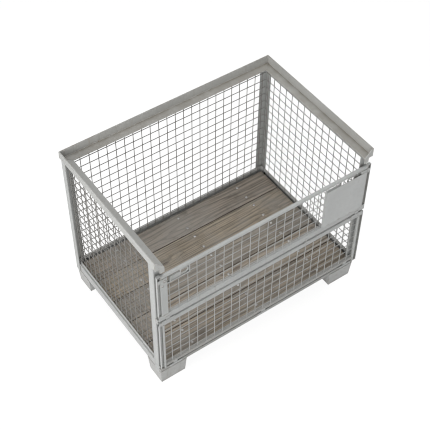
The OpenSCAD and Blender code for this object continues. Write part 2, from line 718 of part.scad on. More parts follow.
flip_x(true) foot(true);  // foot_front_left
foot(true);  // foot_front_right
flip_x(true) foot(false);  // foot_back_left
foot(false);  // foot_back_right
flip_x(true) post_front();  // post_front_left
post_front();  // post_front_right
flip_x(true) post_back();  // post_back_left
post_back();  // post_back_right
base_rail_front();
base_rail_back();
flip_x(true) base_rail_side();  // base_rail_left
base_rail_side();  // base_rail_right
bearer(-bearer_spacing);  // bearer_left
bearer(0);  // bearer_middle
bearer(bearer_spacing);  // bearer_right
for (i = [1:board_count]) floor_board(i);
floor_bolts();
flip_x(true) rim_side();  // rim_left
rim_side();  // rim_right
rim_back();
flip_x(true) rim_end();  // rim_end_left
rim_end();  // rim_end_right
flip_x(true) mesh_bar_side();  // mesh_bar_left
mesh_bar_side();  // mesh_bar_right
mesh_bar_back();
flip_x(true) mesh_side();  // mesh_left
mesh_side();  // mesh_right
mesh_back();
flip_x(true) keeper();  // keeper_left
keeper();  // keeper_right
base_hinge_knuckles();
hinge_pins(base_hinges, z_base_hinge);  // base_hinge_pins
lower_top_rail();
lower_bottom_rail();
flip_x(true) lower_side();  // lower_side_left
lower_side();  // lower_side_right
lower_mesh();
lower_hinge_knuckles();
lower_mid_knuckles();
hinge_pins(mid_hinges, mid_hinge_z);  // mid_hinge_pins
flip_x(true) lock_ear();  // lock_ear_left
lock_ear();  // lock_ear_right
upper_top_tube();
upper_bottom_rail();
flip_x(true) upper_side();  // upper_side_left
upper_side();  // upper_side_right
upper_mesh();
sign_plate();
flip_x(true) latch_guide();  // latch_guide_left
latch_guide();  // latch_guide_right
upper_mid_knuckles();
latch_studs();
flip_x(true) latch_bolt(0);  // bolt_left
latch_bolt(right_bolt_start);  // bolt_right
flip_x(true) lock_pin();  // lock_pin_left
lock_pin();  // lock_pin_right
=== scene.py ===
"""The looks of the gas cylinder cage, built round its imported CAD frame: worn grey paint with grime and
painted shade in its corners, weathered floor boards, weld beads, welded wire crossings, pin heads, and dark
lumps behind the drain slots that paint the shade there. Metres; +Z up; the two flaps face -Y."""
import math
import bpy
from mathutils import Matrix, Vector, noise


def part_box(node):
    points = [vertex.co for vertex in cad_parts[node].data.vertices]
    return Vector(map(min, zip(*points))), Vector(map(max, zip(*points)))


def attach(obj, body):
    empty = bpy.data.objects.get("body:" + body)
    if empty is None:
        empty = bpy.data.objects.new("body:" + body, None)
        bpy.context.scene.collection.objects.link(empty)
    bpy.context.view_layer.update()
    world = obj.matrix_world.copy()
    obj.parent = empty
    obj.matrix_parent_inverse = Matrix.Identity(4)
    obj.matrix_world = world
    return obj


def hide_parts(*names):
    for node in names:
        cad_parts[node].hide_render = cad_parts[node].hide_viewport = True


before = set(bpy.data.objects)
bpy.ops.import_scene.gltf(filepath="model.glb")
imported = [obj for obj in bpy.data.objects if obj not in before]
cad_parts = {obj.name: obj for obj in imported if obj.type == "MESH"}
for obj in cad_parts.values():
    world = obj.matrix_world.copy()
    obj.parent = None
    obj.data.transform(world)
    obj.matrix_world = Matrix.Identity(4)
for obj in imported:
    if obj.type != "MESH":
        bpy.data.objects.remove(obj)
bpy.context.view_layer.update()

# The camera, fitted to the corners of the cage in the photograph
PHOTO_WIDTH = 430.0
FOCAL_PIXELS = 1037.57
SENSOR_WIDTH = 36.0
CAMERA_PLACE = (-2.02548, -2.82511, 4.45491)
CAMERA_TURN = (0.7222, -0.0060, -0.6127)

# Colours of the paint, of its dirt, of the grime and painted shade in its corners, and of its wear
GREY = (0.450, 0.458, 0.448)
RUN_DIRT = (0.25, 0.235, 0.205)
CORNER_GRIME_AND_SHADE = (0.16, 0.145, 0.12)
LEDGE_DUST = (0.185, 0.165, 0.130)
RUBBED_PAINT = (0.80, 0.79, 0.76)
RUST_WASH = (0.27, 0.205, 0.145)
RUST_DARK = (0.16, 0.085, 0.045)
RUST_PALE = (0.27, 0.19, 0.13)
SCUFF = (0.42, 0.41, 0.39)

# How much each of them covers where a paint's wear, dirt and corner shade, or rust is 1
RUN_SHARE = 0.33
GRIME_AND_SHADE_SHARE = 0.62
CORNER_DUST_SHARE = 2.4
RUB_SHARE = 0.55
WASH_SHARE = 0.34
BARE_SHARE = 0.85
SCUFF_SHARE = 0.35

# How far grime and painted shade reach out of corners, how wide edges are rubbed and how round they look
PAINT_CORNER = 0.03
EDGE_WIDTH = 0.0032
EDGE_ROUND = 0.0014

# Colours of bare metal and wood, with the grime and painted shade of the boards' corners, and of the dark
# lumps that paint the shade in the drain slots
ZINC = (0.40, 0.395, 0.38)
ZINC_RUST = (0.15, 0.09, 0.055)
KNOT = (0.075, 0.048, 0.03)
WEATHERED_GREY = (0.30, 0.285, 0.26)
CRACK = (0.035, 0.028, 0.022)
BOOT_DIRT = (0.085, 0.075, 0.06)
WOOD_GRIME_AND_SHADE = (0.05, 0.042, 0.034)
SLOT_SHADE_DARK = (0.030, 0.026, 0.022)
SLOT_SHADE_PALE = (0.055, 0.048, 0.040)
BOARD_TINTS = [(0.30, 0.255, 0.20), (0.335, 0.285, 0.225), (0.28, 0.245, 0.20), (0.32, 0.27, 0.205),
               (0.29, 0.25, 0.205), (0.31, 0.26, 0.21), (0.30, 0.26, 0.21)]

# Floor boards: distance of their cross sections, steps across the top, and how far it is worn down
BOARD_STATION = 0.009
BOARD_STEPS = 14
BOARD_WORN = 0.0011
# How deep their ends are ragged and their edges are rounded and nicked, and how far the top is cupped,
# rough with grain and wavy
BOARD_RAGGED = 0.0015
BOARD_ROUNDED = 0.0018
BOARD_NICK = 0.006
BOARD_CUP = 0.0004
BOARD_GRAIN = 0.00022
BOARD_DIP = 0.0006

# Radii of the weld beads, from the heaviest to the finest
POST_BEAD = 0.0028
FOOT_BEAD = 0.0026
INNER_BEAD = 0.0024
SEAM_BEAD = 0.0022
FITTING_BEAD = 0.0020
SHEET_BEAD = 0.0019
EDGE_BEAD = 0.0018
STITCH_BEAD = 0.0017
LEAF_BEAD = 0.0016
# Distance of a bead's ripples, its number of sides, and its height in radii
BEAD_PITCH = 0.0032
BEAD_SIDES = 7
BEAD_HEIGHT = 0.8

# Where beads run: thickness of the posts' and the rim's steel, the rim's inner corner, and half the height
# of a row of hinge knuckles
POST_STEEL = 0.004
RIM_STEEL = 0.004
RIM_CORNER = 0.006
KNUCKLE_HALF = 0.010
# Down a post's free edge there are two short welds, which leave the drain slot between them open
POST_EDGE_WELDS = ((0.003, 0.012), (0.034, 0.044))
# Width of the strip on the lower flap's ends, with its fold
LOWER_STRIP = 0.0125
# A leaf's ends are welded where it reaches further than the first past its knuckles and is higher than
# the second
LEAF_REACH = 0.006
LEAF_HEIGHT = 0.012
# The weld on a tube's end: where it starts and how far it goes round, in degrees, and its steps
TUBE_WELD_START = -60
TUBE_WELD_TURN = 210
TUBE_WELD_STEPS = 14

# Dark lumps behind the drain slots, which paint the shade seen through them: how deep a lump's middle lies,
# half its thickness, and half its width and half its height in slot sizes
SHADE_LUMP_DEPTH = 0.0042
SHADE_LUMP_HALF = 0.0014
SHADE_LUMP_WIDTH = 0.9
SHADE_LUMP_HEIGHT = 0.62

# Welds of the wire panels, in wire radii: nuggets at the crossings and fillets at the wires' ends
NUGGET_WIDTH = 1.36
NUGGET_DEPTH = 0.74
FILLET_WIDTH = 1.7
FILLET_HEIGHT = 0.9
LAP_WIDTH = 1.5
LAP_DEPTH = 0.8
# Half the height of a lap weld, and how far it lies above a wire's lower end or below its upper end
LAP_HALF = 0.003
LAP_UP = 0.006
LAP_DOWN = (0.008, 0.020)
# Points nearer to each other than the first belong to one wire, and than the second lie in one plane
WIRE_GAP = 0.006
TOUCH = 1e-5

# Heads of the hinge pins: width in pin widths, and height
HEAD_WIDTH = 1.30
HEAD_HEIGHT = 0.0016

# The stage
FLOOR_HALF = 14
FLOOR_COLOUR = (0.86, 0.86, 0.85, 1.0)
FLOOR_GLOW = 1.12
FLOOR_GLOW_SHARE = 0.82
SKY_COLOUR = (0.97, 0.98, 1.0, 1)
SKY_STRENGTH = 0.34
WHITE = (1.0, 1.0, 1.0, 1.0)
LAMP_AIM = (0, 0, 0.5)


def make_camera():
    """The photograph's camera."""
    data = bpy.data.cameras.new("camera")
    cam = bpy.data.objects.new("camera", data)
    bpy.context.scene.collection.objects.link(cam)
    cam.location = CAMERA_PLACE
    cam.rotation_euler = CAMERA_TURN
    data.sensor_fit = "HORIZONTAL"
    data.sensor_width = SENSOR_WIDTH
    data.lens = FOCAL_PIXELS * SENSOR_WIDTH / PHOTO_WIDTH
    data.clip_end = 50.0
    bpy.context.scene.camera = cam


make_camera()


# Materials

class Nodes:
    """A short way to write a node material: each call adds a node and returns it or its output."""

    def __init__(self, name):
        self.mat = bpy.data.materials.new(name)
        self.mat.use_nodes = True
        self.tree = self.mat.node_tree
        self.tree.nodes.clear()

    def add(self, kind, props=None, **inputs):
        n = self.tree.nodes.new(kind)
        for k, v in (props or {}).items():
            setattr(n, k, v)
        for k, v in inputs.items():
            self.put(n, k, v)
        return n

    def put(self, n, key, v):
        """Links an input or sets its constant. a and b are the first two inputs, other keys are names."""
        sock = n.inputs["ab".index(key)] if key in ("a", "b") else n.inputs[key.replace("_", " ")]
        if isinstance(v, bpy.types.NodeSocket):
            self.tree.links.new(v, sock)
        else:
            sock.default_value = v

    def place(self):
        """Where on its object a point lies."""
        return self.add("ShaderNodeTexCoord").outputs["Object"]

    def xyz(self, vector):
        return self.add("ShaderNodeSeparateXYZ", Vector=vector).outputs

    def math(self, op, a, b, clamp=False):
        return self.add("ShaderNodeMath", {"operation": op, "use_clamp": clamp}, a=a, b=b).outputs[0]

    def times(self, a, b, clamp=False):
        return self.math("MULTIPLY", a, b, clamp)

    def step(self, v, low, high, to_low=0.0, to_high=1.0):
        """A smooth step as v goes from low to high."""
        n = self.add("ShaderNodeMapRange", {"interpolation_type": "SMOOTHSTEP"}, Value=v)
        for k, x in (("From Min", low), ("From Max", high), ("To Min", to_low), ("To Max", to_high)):
            n.inputs[k].default_value = x
        return n.outputs["Result"]

    def mix(self, factor, a, b):
        """Colour a where the factor is 0 and b where it is 1."""
        n = self.add("ShaderNodeMix", {"data_type": "RGBA"})
        for sock, v in ((n.inputs[0], factor), (n.inputs[6], a), (n.inputs[7], b)):
            if isinstance(v, bpy.types.NodeSocket):
                self.tree.links.new(v, sock)
            elif isinstance(v, (int, float)):
                sock.default_value = v
            else:
                sock.default_value = (*v, 1.0)
        return n.outputs[2]

    def mapped(self, coord, stretch, shift):
        return self.add("ShaderNodeMapping", Vector=coord, Scale=stretch, Location=shift).outputs[0]

    def noise(self, coord, scale, detail=2.0, rough=0.5, stretch=(1, 1, 1), shift=(0, 0, 0), distortion=0.0):
        n = self.add("ShaderNodeTexNoise", Vector=self.mapped(coord, stretch, shift), Scale=scale,
                     Detail=detail, Roughness=rough, Distortion=distortion)
        return n.outputs["Fac"]

    def occlusion(self, distance, samples):
        return self.add("ShaderNodeAmbientOcclusion", {"samples": samples}, Distance=distance).outputs["AO"]

    def round_normal(self, radius):
        """The normal as if edges were rounded to a radius."""
        return self.add("ShaderNodeBevel", {"samples": 4}, Radius=radius).outputs[0]

    def edges(self, round_normal):
        """Above 0 where a rounded normal leaves the true one, so along edges."""
        flat = self.add("ShaderNodeNewGeometry").outputs["True Normal"]
        dot = self.add("ShaderNodeVectorMath", {"operation": "DOT_PRODUCT"}, a=round_normal, b=flat)
        return self.math("SUBTRACT", 1.0, dot.outputs["Value"])

    def bump(self, height, distance, strength=1.0, normal=None):
        n = self.add("ShaderNodeBump", Strength=strength, Distance=distance, Height=height)
        if normal is not None:
            self.put(n, "Normal", normal)
        return n.outputs[0]

    def finish(self, colour, rough, normal, metallic=0.0):
        s = self.add("ShaderNodeBsdfPrincipled", Base_Color=colour, Roughness=rough, Normal=normal,
                     Metallic=metallic)
        self.add("ShaderNodeOutputMaterial", Surface=s.outputs[0])
        return self.mat


def scaled(colour, k):
    """A colour made k times as bright."""
    return tuple(min(1.0, c * k) for c in colour)


def dirt_and_corner_shade(n, p, s, colour, dirt_and_shade, dust):
    """Runs left by rain, grime and painted shade in corners from an occlusion node, and dust on faces that
    look up. Returns colour and the corner grime and shade.
    """
    runs = n.noise(p, 1.0, 4.0, 0.65, stretch=(55, 55, 2.2), shift=s)
    patch = n.noise(p, 2.6, 2.0, 0.5, shift=(4.1, 1.7, 8.8))
    run_mask = n.times(n.step(runs, 0.52, 0.72), n.step(patch, 0.42, 0.66))
    colour = n.mix(n.times(run_mask, RUN_SHARE * dirt_and_shade), colour, RUN_DIRT)
    # An occlusion node darkens the corners: real grime there, and painted shade where shade would fall
    corner = n.step(n.occlusion(PAINT_CORNER, 6), 0.15, 0.85, 1.0, 0.0)
    grime_and_shade = n.times(corner, n.step(n.noise(p, 32.0, 4.0, 0.65, shift=s), 0.3, 0.72, 0.35, 1.0))
    colour = n.mix(n.times(grime_and_shade, GRIME_AND_SHADE_SHARE * dirt_and_shade), colour, CORNER_GRIME_AND_SHADE)
    if dust:
        level = n.step(n.xyz(n.add("ShaderNodeNewGeometry").outputs["Normal"])["Z"], 0.6, 0.9)
        clouds = n.step(n.noise(p, 13.0, 5.0, 0.65, shift=(s[1], s[2], s[0])), 0.30, 0.62, 0.35, 1.0)
        thick = n.math("ADD", n.times(corner, CORNER_DUST_SHARE * dust), dust)
        colour = n.mix(n.times(n.times(level, clouds), thick, clamp=True), colour, LEDGE_DUST)
    return colour, grime_and_shade


def worn(n, p, s, colour, wear, rust):
    """Rubbed edges, chips, rust washed down from them, and freckles. Returns colour and bare steel."""
    edge = n.edges(n.round_normal(EDGE_WIDTH))
    rub = n.times(n.step(edge, 0.02, 0.2), n.step(n.noise(p, 18.0, 4.0, 0.7, shift=s), 0.40, 0.62))
    colour = n.mix(n.times(rub, RUB_SHARE * wear), colour, RUBBED_PAINT)
    zone = n.step(n.noise(p, 6.0, 3.0, 0.6, shift=(s[2], s[0], s[1])), 0.40, 0.56)
    chips = n.times(n.step(edge, 0.03, 0.12), n.step(n.noise(p, 85.0, 4.0, 0.65, shift=s), 0.50, 0.55))
    chips = n.times(chips, zone)
    freckles = n.times(n.step(n.noise(p, 120.0, 3.0, 0.6, shift=s), 0.645, 0.68),
                       n.step(n.noise(p, 7.0, 2.0, 0.5, shift=s), 0.52, 0.60))
    wash = n.noise(p, 1.0, 3.0, 0.6, stretch=(90, 90, 7), shift=s)
    wash = n.times(n.step(wash, 0.55, 0.75), zone)
    colour = n.mix(n.times(wash, WASH_SHARE * rust), colour, RUST_WASH)
    bare = n.math("MAXIMUM", n.times(chips, wear), n.times(freckles, rust), clamp=True)
    rusty = n.mix(n.step(n.noise(p, 300.0, 2.0), 0.4, 0.6), RUST_DARK, RUST_PALE)
    return n.mix(n.times(bare, BARE_SHARE), colour, rusty), bare


def scuffed(n, p, colour, wear, seed):
    """Thin level scuffs where things were dragged along."""
    lines = n.noise(p, 1.0, 2.0, 0.5, stretch=(9, 9, 240), shift=(2.0 + seed, 5.0, 0.0), distortion=0.4)
    scuffs = n.times(n.step(lines, 0.70, 0.74), n.step(n.noise(p, 4.0, 1.0), 0.55, 0.6))
    return n.mix(n.times(scuffs, SCUFF_SHARE * wear), colour, SCUFF)


def painted(name, base, wear=0.5, dirt_and_shade=0.6, rust=0.5, gloss=0.42, seed=0.0, dust=0.0):
    """Grey paint on folded steel: mottled, dirty, with painted shade in its corners, and chipped, with soft
    orange peel and shallow dents.
    """
    n = Nodes(name)
    p = n.place()
    s = (seed, seed * 0.7, seed * 1.3)
    cloud = n.noise(p, 5.0, 5.0, 0.6, shift=s)
    fine = n.noise(p, 60.0, 3.0, 0.6, shift=s)
    colour = n.mix(n.step(cloud, 0.32, 0.68), scaled(base, 0.93), scaled(base, 1.05))
    colour = n.mix(n.step(fine, 0.35, 0.75, 0.0, 0.5), colour, scaled(base, 0.93))
    colour, grime_and_shade = dirt_and_corner_shade(n, p, s, colour, dirt_and_shade, dust)
    colour, bare = worn(n, p, s, colour, wear, rust)
    colour = scuffed(n, p, colour, wear, seed)
    rough = n.step(fine, 0.3, 0.7, gloss - 0.05, gloss + 0.12)
    rough = n.math("ADD", rough, n.times(n.math("MAXIMUM", bare, grime_and_shade), 0.25), clamp=True)
    peel = n.bump(n.noise(p, 420.0, 2.0, 0.5), 0.00025, 0.35, n.round_normal(EDGE_ROUND))
    dents = n.bump(n.noise(p, 9.0, 2.0, 0.45, shift=s), 0.004, 0.18, peel)
    pits = n.bump(n.math("SUBTRACT", 1.0, bare), 0.0004, 0.5, dents)
    return n.finish(colour, rough, pits)


def dull_zinc(name):
    """Dull zinc on pins, studs and bolt heads: grey bloom, rust in spots and in the corner round them."""
    n = Nodes(name)
    p = n.place()
    bloom = n.noise(p, 90.0, 4.0, 0.6)
    colour = n.mix(n.step(bloom, 0.4, 0.65), ZINC, scaled(ZINC, 0.72))
    spots = n.step(n.noise(p, 160.0, 3.0, 0.6), 0.56, 0.68)
    rust = n.math("MAXIMUM", spots, n.step(n.occlusion(0.012, 4), 0.2, 0.9, 1.0, 0.0))
    colour = n.mix(n.times(rust, 0.55), colour, ZINC_RUST)
    rough = n.step(bloom, 0.3, 0.7, 0.38, 0.6)
    metal = n.step(rust, 0.2, 0.9, 0.85, 0.1)
    return n.finish(colour, rough, n.bump(bloom, 0.0003, 0.4, n.round_normal(0.0008)), metal)


def weathered_wood(name, tint, seed):
    """Rough grey softwood with its grain along X: streaks, growth rings, knots, cracks, boot dirt, and grime
    with painted shade where the boards meet other parts.
    """
    n = Nodes(name)
    p = n.place()
    s = (seed * 3.1, seed * 1.7, seed)
    at = n.mapped(p, (2.2, 8.0, 0.6), s)
    near = n.add("ShaderNodeTexVoronoi", {"feature": "F1"}, Vector=at, Scale=1.0).outputs["Distance"]
    knot = n.step(near, 0.045, 0.085, 1.0, 0.0)
    # Growth rings: their spacing wanders across the board and bends round the knots
    warp = n.noise(p, 1.0, 2.0, 0.5, stretch=(1.1, 9, 7), shift=s)
    bend = n.math("ADD", n.times(warp, 34.0), n.times(n.step(near, 0.06, 0.30, 1.0, 0.0), 7.0))
    rings = n.math("SINE", n.math("ADD", n.times(n.xyz(p)["Y"], 250.0), bend), 0.0)
    streaks = n.noise(p, 1.0, 4.0, 0.62, stretch=(2.2, 85, 60), shift=(s[2], s[0], s[1]))
    fibre = n.noise(p, 1.0, 4.0, 0.7, stretch=(14, 520, 300), shift=s)
    tone = n.math("ADD", n.times(streaks, 0.75), n.times(fibre, 0.45))
    tone = n.math("SUBTRACT", tone, n.times(n.step(rings, 0.45, 0.95), 0.14))
    colour = n.mix(n.step(tone, 0.40, 0.74), scaled(tint, 0.50), scaled(tint, 1.25))
    colour = n.mix(n.times(knot, 0.8), colour, KNOT)
    grey = n.noise(p, 3.5, 4.0, 0.65, shift=s)
    colour = n.mix(n.step(grey, 0.35, 0.7, 0.0, 0.6), colour, WEATHERED_GREY)
    cracks = n.noise(p, 1.0, 3.0, 0.6, stretch=(5, 170, 40), shift=(s[1], s[0], s[2]))
    cracks = n.step(cracks, 0.665, 0.70)
    colour = n.mix(n.times(cracks, 0.85), colour, CRACK)
    boots = n.noise(p, 9.0, 5.0, 0.7, shift=s)
    colour = n.mix(n.step(boots, 0.5, 0.78, 0.0, 0.55), colour, BOOT_DIRT)
    # Darker where an occlusion node finds parts close by: grime, and painted shade between the boards and the
    # frame
    colour = n.mix(n.step(n.occlusion(0.02, 4), 0.2, 0.9, 0.6, 0.0), colour, WOOD_GRIME_AND_SHADE)
    rough = n.step(fibre, 0.3, 0.7, 0.72, 0.92)
    height = n.math("SUBTRACT", n.math("ADD", tone, n.times(knot, 0.3)), n.times(cracks, 1.6))
    return n.finish(colour, rough, n.bump(height, 0.0012, 0.55))


def shade_lump_surface(name):
    """A dark grainy surface for the lumps that paint the shade in the drain slots."""
    n = Nodes(name)
    grain = n.noise(n.place(), 240.0, 3.0, 0.6)
    return n.finish(n.mix(grain, SLOT_SHADE_DARK, SLOT_SHADE_PALE), 0.95, n.bump(grain, 0.0006, 0.6))


paint = painted("grey_paint", GREY, wear=0.5, dirt_and_shade=0.55, rust=0.45)
paint_rim = painted("grey_paint_rim", (0.445, 0.447, 0.430),
                    wear=0.8, dirt_and_shade=0.7, rust=0.6, seed=3.1, dust=0.10)
# The right and back rims: a darker paint as painted shade on the side away from the key lamp, and more dust
# on their ledges
paint_rim_shaded_dusty = painted("grey_paint_rim_shaded_dusty", (0.415, 0.412, 0.392),
                          wear=1.0, dirt_and_shade=1.0, rust=0.8, seed=4.4, dust=0.44)
paint_foot = painted("grey_paint_feet", (0.440, 0.442, 0.430),
                     wear=0.9, dirt_and_shade=1.0, rust=1.0, seed=6.4, gloss=0.5)
paint_wire = painted("grey_paint_wire", (0.385, 0.388, 0.378), wear=0.2, dirt_and_shade=0.45, rust=0.5, seed=9.2)
# The wires of the side and back panels and their lap welds: a much darker paint that paints the shade they
# lie in
paint_wire_shaded = painted("grey_paint_wire_shaded", (0.215, 0.208, 0.195),
                          wear=0.2, dirt_and_shade=0.8, rust=0.8, seed=10.6)
paint_latch = painted("worn_paint", (0.435, 0.438, 0.425),
                      wear=1.0, dirt_and_shade=0.8, rust=0.8, seed=12.7, gloss=0.38)
paint_plate = painted("grey_paint_plate", (0.480, 0.488, 0.479),
                      wear=0.5, dirt_and_shade=0.3, rust=0.2, seed=15.0, gloss=0.36)
paint_weld = painted("painted_weld", (0.385, 0.378, 0.355),
                     wear=0.5, dirt_and_shade=1.0, rust=1.0, seed=18.0, gloss=0.46)
# The front base rail and the lower flap's sill: a darker paint, partly wear and dirt, partly painted shade
# under the lower flap
paint_sill_shaded = painted("grey_paint_sill_shaded", (0.355, 0.355, 0.338),
                     wear=1.0, dirt_and_shade=1.0, rust=0.8, seed=21.3, gloss=0.5)
paint_base = painted("grey_paint_base", (0.452, 0.456, 0.446), wear=0.6, dirt_and_shade=0.30, rust=0.6, seed=24.9)
paint_end_left = painted("grey_paint_flap_left", GREY, wear=0.6, dirt_and_shade=0.35, rust=0.5, seed=28.8)
# The flaps' right ends: much more corner darkening, so that their grooves get a painted shade
paint_end_right_shaded = painted("grey_paint_flap_right_shaded", GREY, wear=0.6, dirt_and_shade=1.45, rust=0.5, seed=27.3)
zinc = dull_zinc("dull_zinc")

# What the CAD nodes are covered with, by how their names start. The first row that fits counts, and nodes
# that none fits have the plain paint.
LOOKS = [
    (("rim_right", "rim_back"), paint_rim_shaded_dusty),
    (("rim",), paint_rim),
    (("foot",), paint_foot),
    (("mesh_left", "mesh_right", "mesh_back"), paint_wire_shaded),
    (("lower_mesh", "upper_mesh"), paint_wire),
    (("bolt_", "keeper", "latch_guide", "bearer"), paint_latch),
    (("base_rail_front", "lower_bottom_rail"), paint_sill_shaded),
    (("base_rail",), paint_base),
    (("upper_side_left", "lower_side_left"), paint_end_left),
    (("upper_side_right", "lower_side_right"), paint_end_right_shaded),
    (("sign_plate",), paint_plate),
    (("floor_bolts", "base_hinge_pins", "mid_hinge_pins", "latch_studs", "lock_pin"), zinc),
]


def set_material(obj, mat):
    """Covers an object with one material."""
    for slot in obj.material_slots:
        slot.material = mat
    if not obj.material_slots:
        obj.data.materials.append(mat)


for name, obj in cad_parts.items():
    set_material(obj, next((look for starts, look in LOOKS if name.startswith(starts)), paint))


# Helpers that read the CAD nodes and build meshes

def corners(node):
    """The low and the high corner of a CAD node's box."""
    low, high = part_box(node)
    return Vector(low), Vector(high)


def outward(low, high, side):
    """The outer and the inner one of two values, on the cage's side at -1 or +1."""
    return (low, high) if side < 0 else (high, low)


def solids(node):
    """The box of each separate solid in a CAD node."""
    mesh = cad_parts[node].data
    root = list(range(len(mesh.vertices)))

    def find(i):
        while root[i] != i:
            root[i] = root[root[i]]
            i = root[i]
        return i

    same = {}
    for i, v in enumerate(mesh.vertices):
        key = tuple(round(c, 6) for c in v.co)
        root[find(i)] = find(same.setdefault(key, i))
    for e in mesh.edges:
        root[find(e.vertices[0])] = find(e.vertices[1])
    groups = {}
    for i, v in enumerate(mesh.vertices):
        groups.setdefault(find(i), []).append(v.co)
    boxes = [(Vector([min(c[k] for c in points) for k in range(3)]),
              Vector([max(c[k] for c in points) for k in range(3)])) for points in groups.values()]
    return sorted(boxes, key=lambda b: tuple(b[0]))


def circle(count):
    """The cosine and the sine of evenly spaced directions."""
    return [(math.cos(2 * math.pi * j / count), math.sin(2 * math.pi * j / count)) for j in range(count)]


def bands(rings, k, first=0):
    """The quads that join rings of k points each."""
    faces = []
    for i in range(rings - 1):
        for j in range(k):
            a, b = first + i * k + j, first + i * k + (j + 1) % k
            faces.append((a, b, b + k, a + k))
    return faces


class Parts:
    """Collects many small closed shapes into one mesh."""

    def __init__(self):
        self.verts, self.faces = [], []

    def add(self, verts, faces):
        k = len(self.verts)
        self.verts += [tuple(v) for v in verts]
        self.faces += [tuple(i + k for i in f) for f in faces]

    def make(self, name, mat, body, smooth=True):
        """The finished object, which rides on a body of the frame."""
        mesh = bpy.data.meshes.new(name)
        mesh.from_pydata(self.verts, [], self.faces)
        mesh.update()
        mesh.validate()
        if smooth:
            mesh.shade_smooth()
        obj = bpy.data.objects.new(name, mesh)
        bpy.context.scene.collection.objects.link(obj)
        mesh.materials.append(mat)
        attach(obj, body)
        return obj

    def ring_tube(self, rings):
        """Joins rings of the same number of points and caps the two ends."""
        k = len(rings[0])
        faces = bands(len(rings), k)
        faces.append(tuple(reversed(range(k))))
        faces.append(tuple(range((len(rings) - 1) * k, len(rings) * k)))
        self.add([v for r in rings for v in r], faces)

    def bead(self, a, b, out, r=POST_BEAD):
        """A weld bead from a to b, crowned towards out: overlapping ripples, tapered at both ends."""
        a, b, out = Vector(a), Vector(b), Vector(out).normalized()
        along = b - a
        length = along.length
        w = along.normalized().cross(out).normalized()
        steps = max(6, int(length / (BEAD_PITCH / 3)))
        rings = []
        for i in range(steps + 1):
            d = i / steps * length
            c = a + along * (i / steps)
            ripple = 0.86 + 0.14 * (1 - abs((d / BEAD_PITCH) % 1.0 * 2 - 1))
            taper = min(1.0, math.sqrt(max(0.0, min(d, length - d) / (1.4 * r))) + 0.15)
            size = r * ripple * taper * (1 + 0.10 * noise.noise(c * 90))
            rings.append([c + w * (x * size) + out * (y * size * BEAD_HEIGHT) for x, y in circle(BEAD_SIDES)])
        self.ring_tube(rings)

    def blob(self, c, n, r, h, sides=8):
        """A small flattened dome at c with its crown along n."""
        c, n = Vector(c), Vector(n).normalized()
        u = n.orthogonal().normalized()
        w = n.cross(u)
        verts = []
        for q, z in ((1.0, -0.4), (1.0, 0.15), (0.82, 0.62), (0.45, 0.93)):
            verts += [c + (u * x + w * y) * r * q + n * h * z for x, y in circle(sides)]
        top = len(verts)
        faces = bands(4, sides)
        faces += [(top - sides + j, top - sides + (j + 1) % sides, top) for j in range(sides)]
        faces.append(tuple(reversed(range(sides))))
        self.add(verts + [c + n * h], faces)

    def lump(self, c, radii, sides=8):
        """A low closed ellipsoid at c, with its radii along X, Y and Z."""
        verts = [(c[0], c[1], c[2] - radii[2])]
        for z, q in ((-0.75, 0.66), (-0.3, 0.95), (0.3, 0.95), (0.75, 0.66)):
            verts += [(c[0] + radii[0] * q * x, c[1] + radii[1] * q * y, c[2] + radii[2] * z)
                      for x, y in circle(sides)]
        top = len(verts)
        faces = [(0, 1 + (j + 1) % sides, 1 + j) for j in range(sides)]
        faces += bands(4, sides, 1)
        faces += [(top - sides + j, top - sides + (j + 1) % sides, top) for j in range(sides)]
        self.add(verts + [(c[0], c[1], c[2] + radii[2])], faces)


def stitches(low, high, margin, pitch, length):
    """The start and the end of each stitch of a seam that runs from low to high."""
    start = low + margin
    while start < high - margin:
        yield start, start + length
        start += pitch


# Floor boards

def board_top(i, x, low, high):
    """The points across the top of board i at x: worn at its edges, nicked, cupped and rough."""
    ragged = BOARD_RAGGED * max(0.0, 1 - min(x - low.x, high.x - x) / 0.02)
    points = []
    for j in range(BOARD_STEPS + 1):
        t = j / BOARD_STEPS
        y = low.y + (high.y - low.y) * t
        edge = min(t, 1 - t) * (high.y - low.y)
        worn_edge = BOARD_ROUNDED * max(0.0, 1 - edge / 0.004) ** 2
        nick = max(0.0, noise.noise(Vector((x * 28, y * 60, i * 7.1))) - 0.25) * BOARD_NICK
        nick *= max(0.0, 1 - edge / 0.010)
        cup = BOARD_CUP * (1 - (2 * t - 1) ** 2)
        grain = BOARD_GRAIN * noise.noise(Vector((x * 9, y * 420, i * 3.3)))
        dip = BOARD_DIP * noise.noise(Vector((x * 3.1, y * 9, i * 5.7)))
        points.append(Vector((x, y, high.z - BOARD_WORN - worn_edge - nick - ragged + cup + grain + dip)))
    return points


def board_section(i, x, low, high):
    """The outline of board i at x, with slightly uneven sawn sides."""
    inset = 0.0004 + 0.0007 * (0.5 + 0.5 * noise.noise(Vector((x * 22, 0.3, i * 2.9))))
    top = board_top(i, x, low, high)
    top[0].y += inset + 0.0006
    top[-1].y -= inset + 0.0006
    rest = [(high.y - inset, high.z - 0.0045), (high.y - inset, low.z + 0.001),
            (high.y - 0.002, low.z + 0.0001), (low.y + 0.002, low.z + 0.0001),
            (low.y + inset, low.z + 0.001), (low.y + inset, high.z - 0.0045)]
    return list(reversed(top + [Vector((x, y, z)) for y, z in rest]))


def make_board(i):
    """Board i in place of its CAD board."""
    low, high = corners(f"floor_board_{i}")
    count = int((high.x - low.x) / BOARD_STATION)
    p = Parts()
    p.ring_tube([board_section(i, low.x + (high.x - low.x) * k / count, low, high) for k in range(count + 1)])
    wood = weathered_wood(f"board_wood_{i}", BOARD_TINTS[(i - 1) % len(BOARD_TINTS)], i * 1.37)
    obj = p.make(f"board_{i}", wood, "frame", smooth=False)
    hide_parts(f"floor_board_{i}")


for k in range(sum(name.startswith("floor_board_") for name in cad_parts)):
    make_board(k + 1)


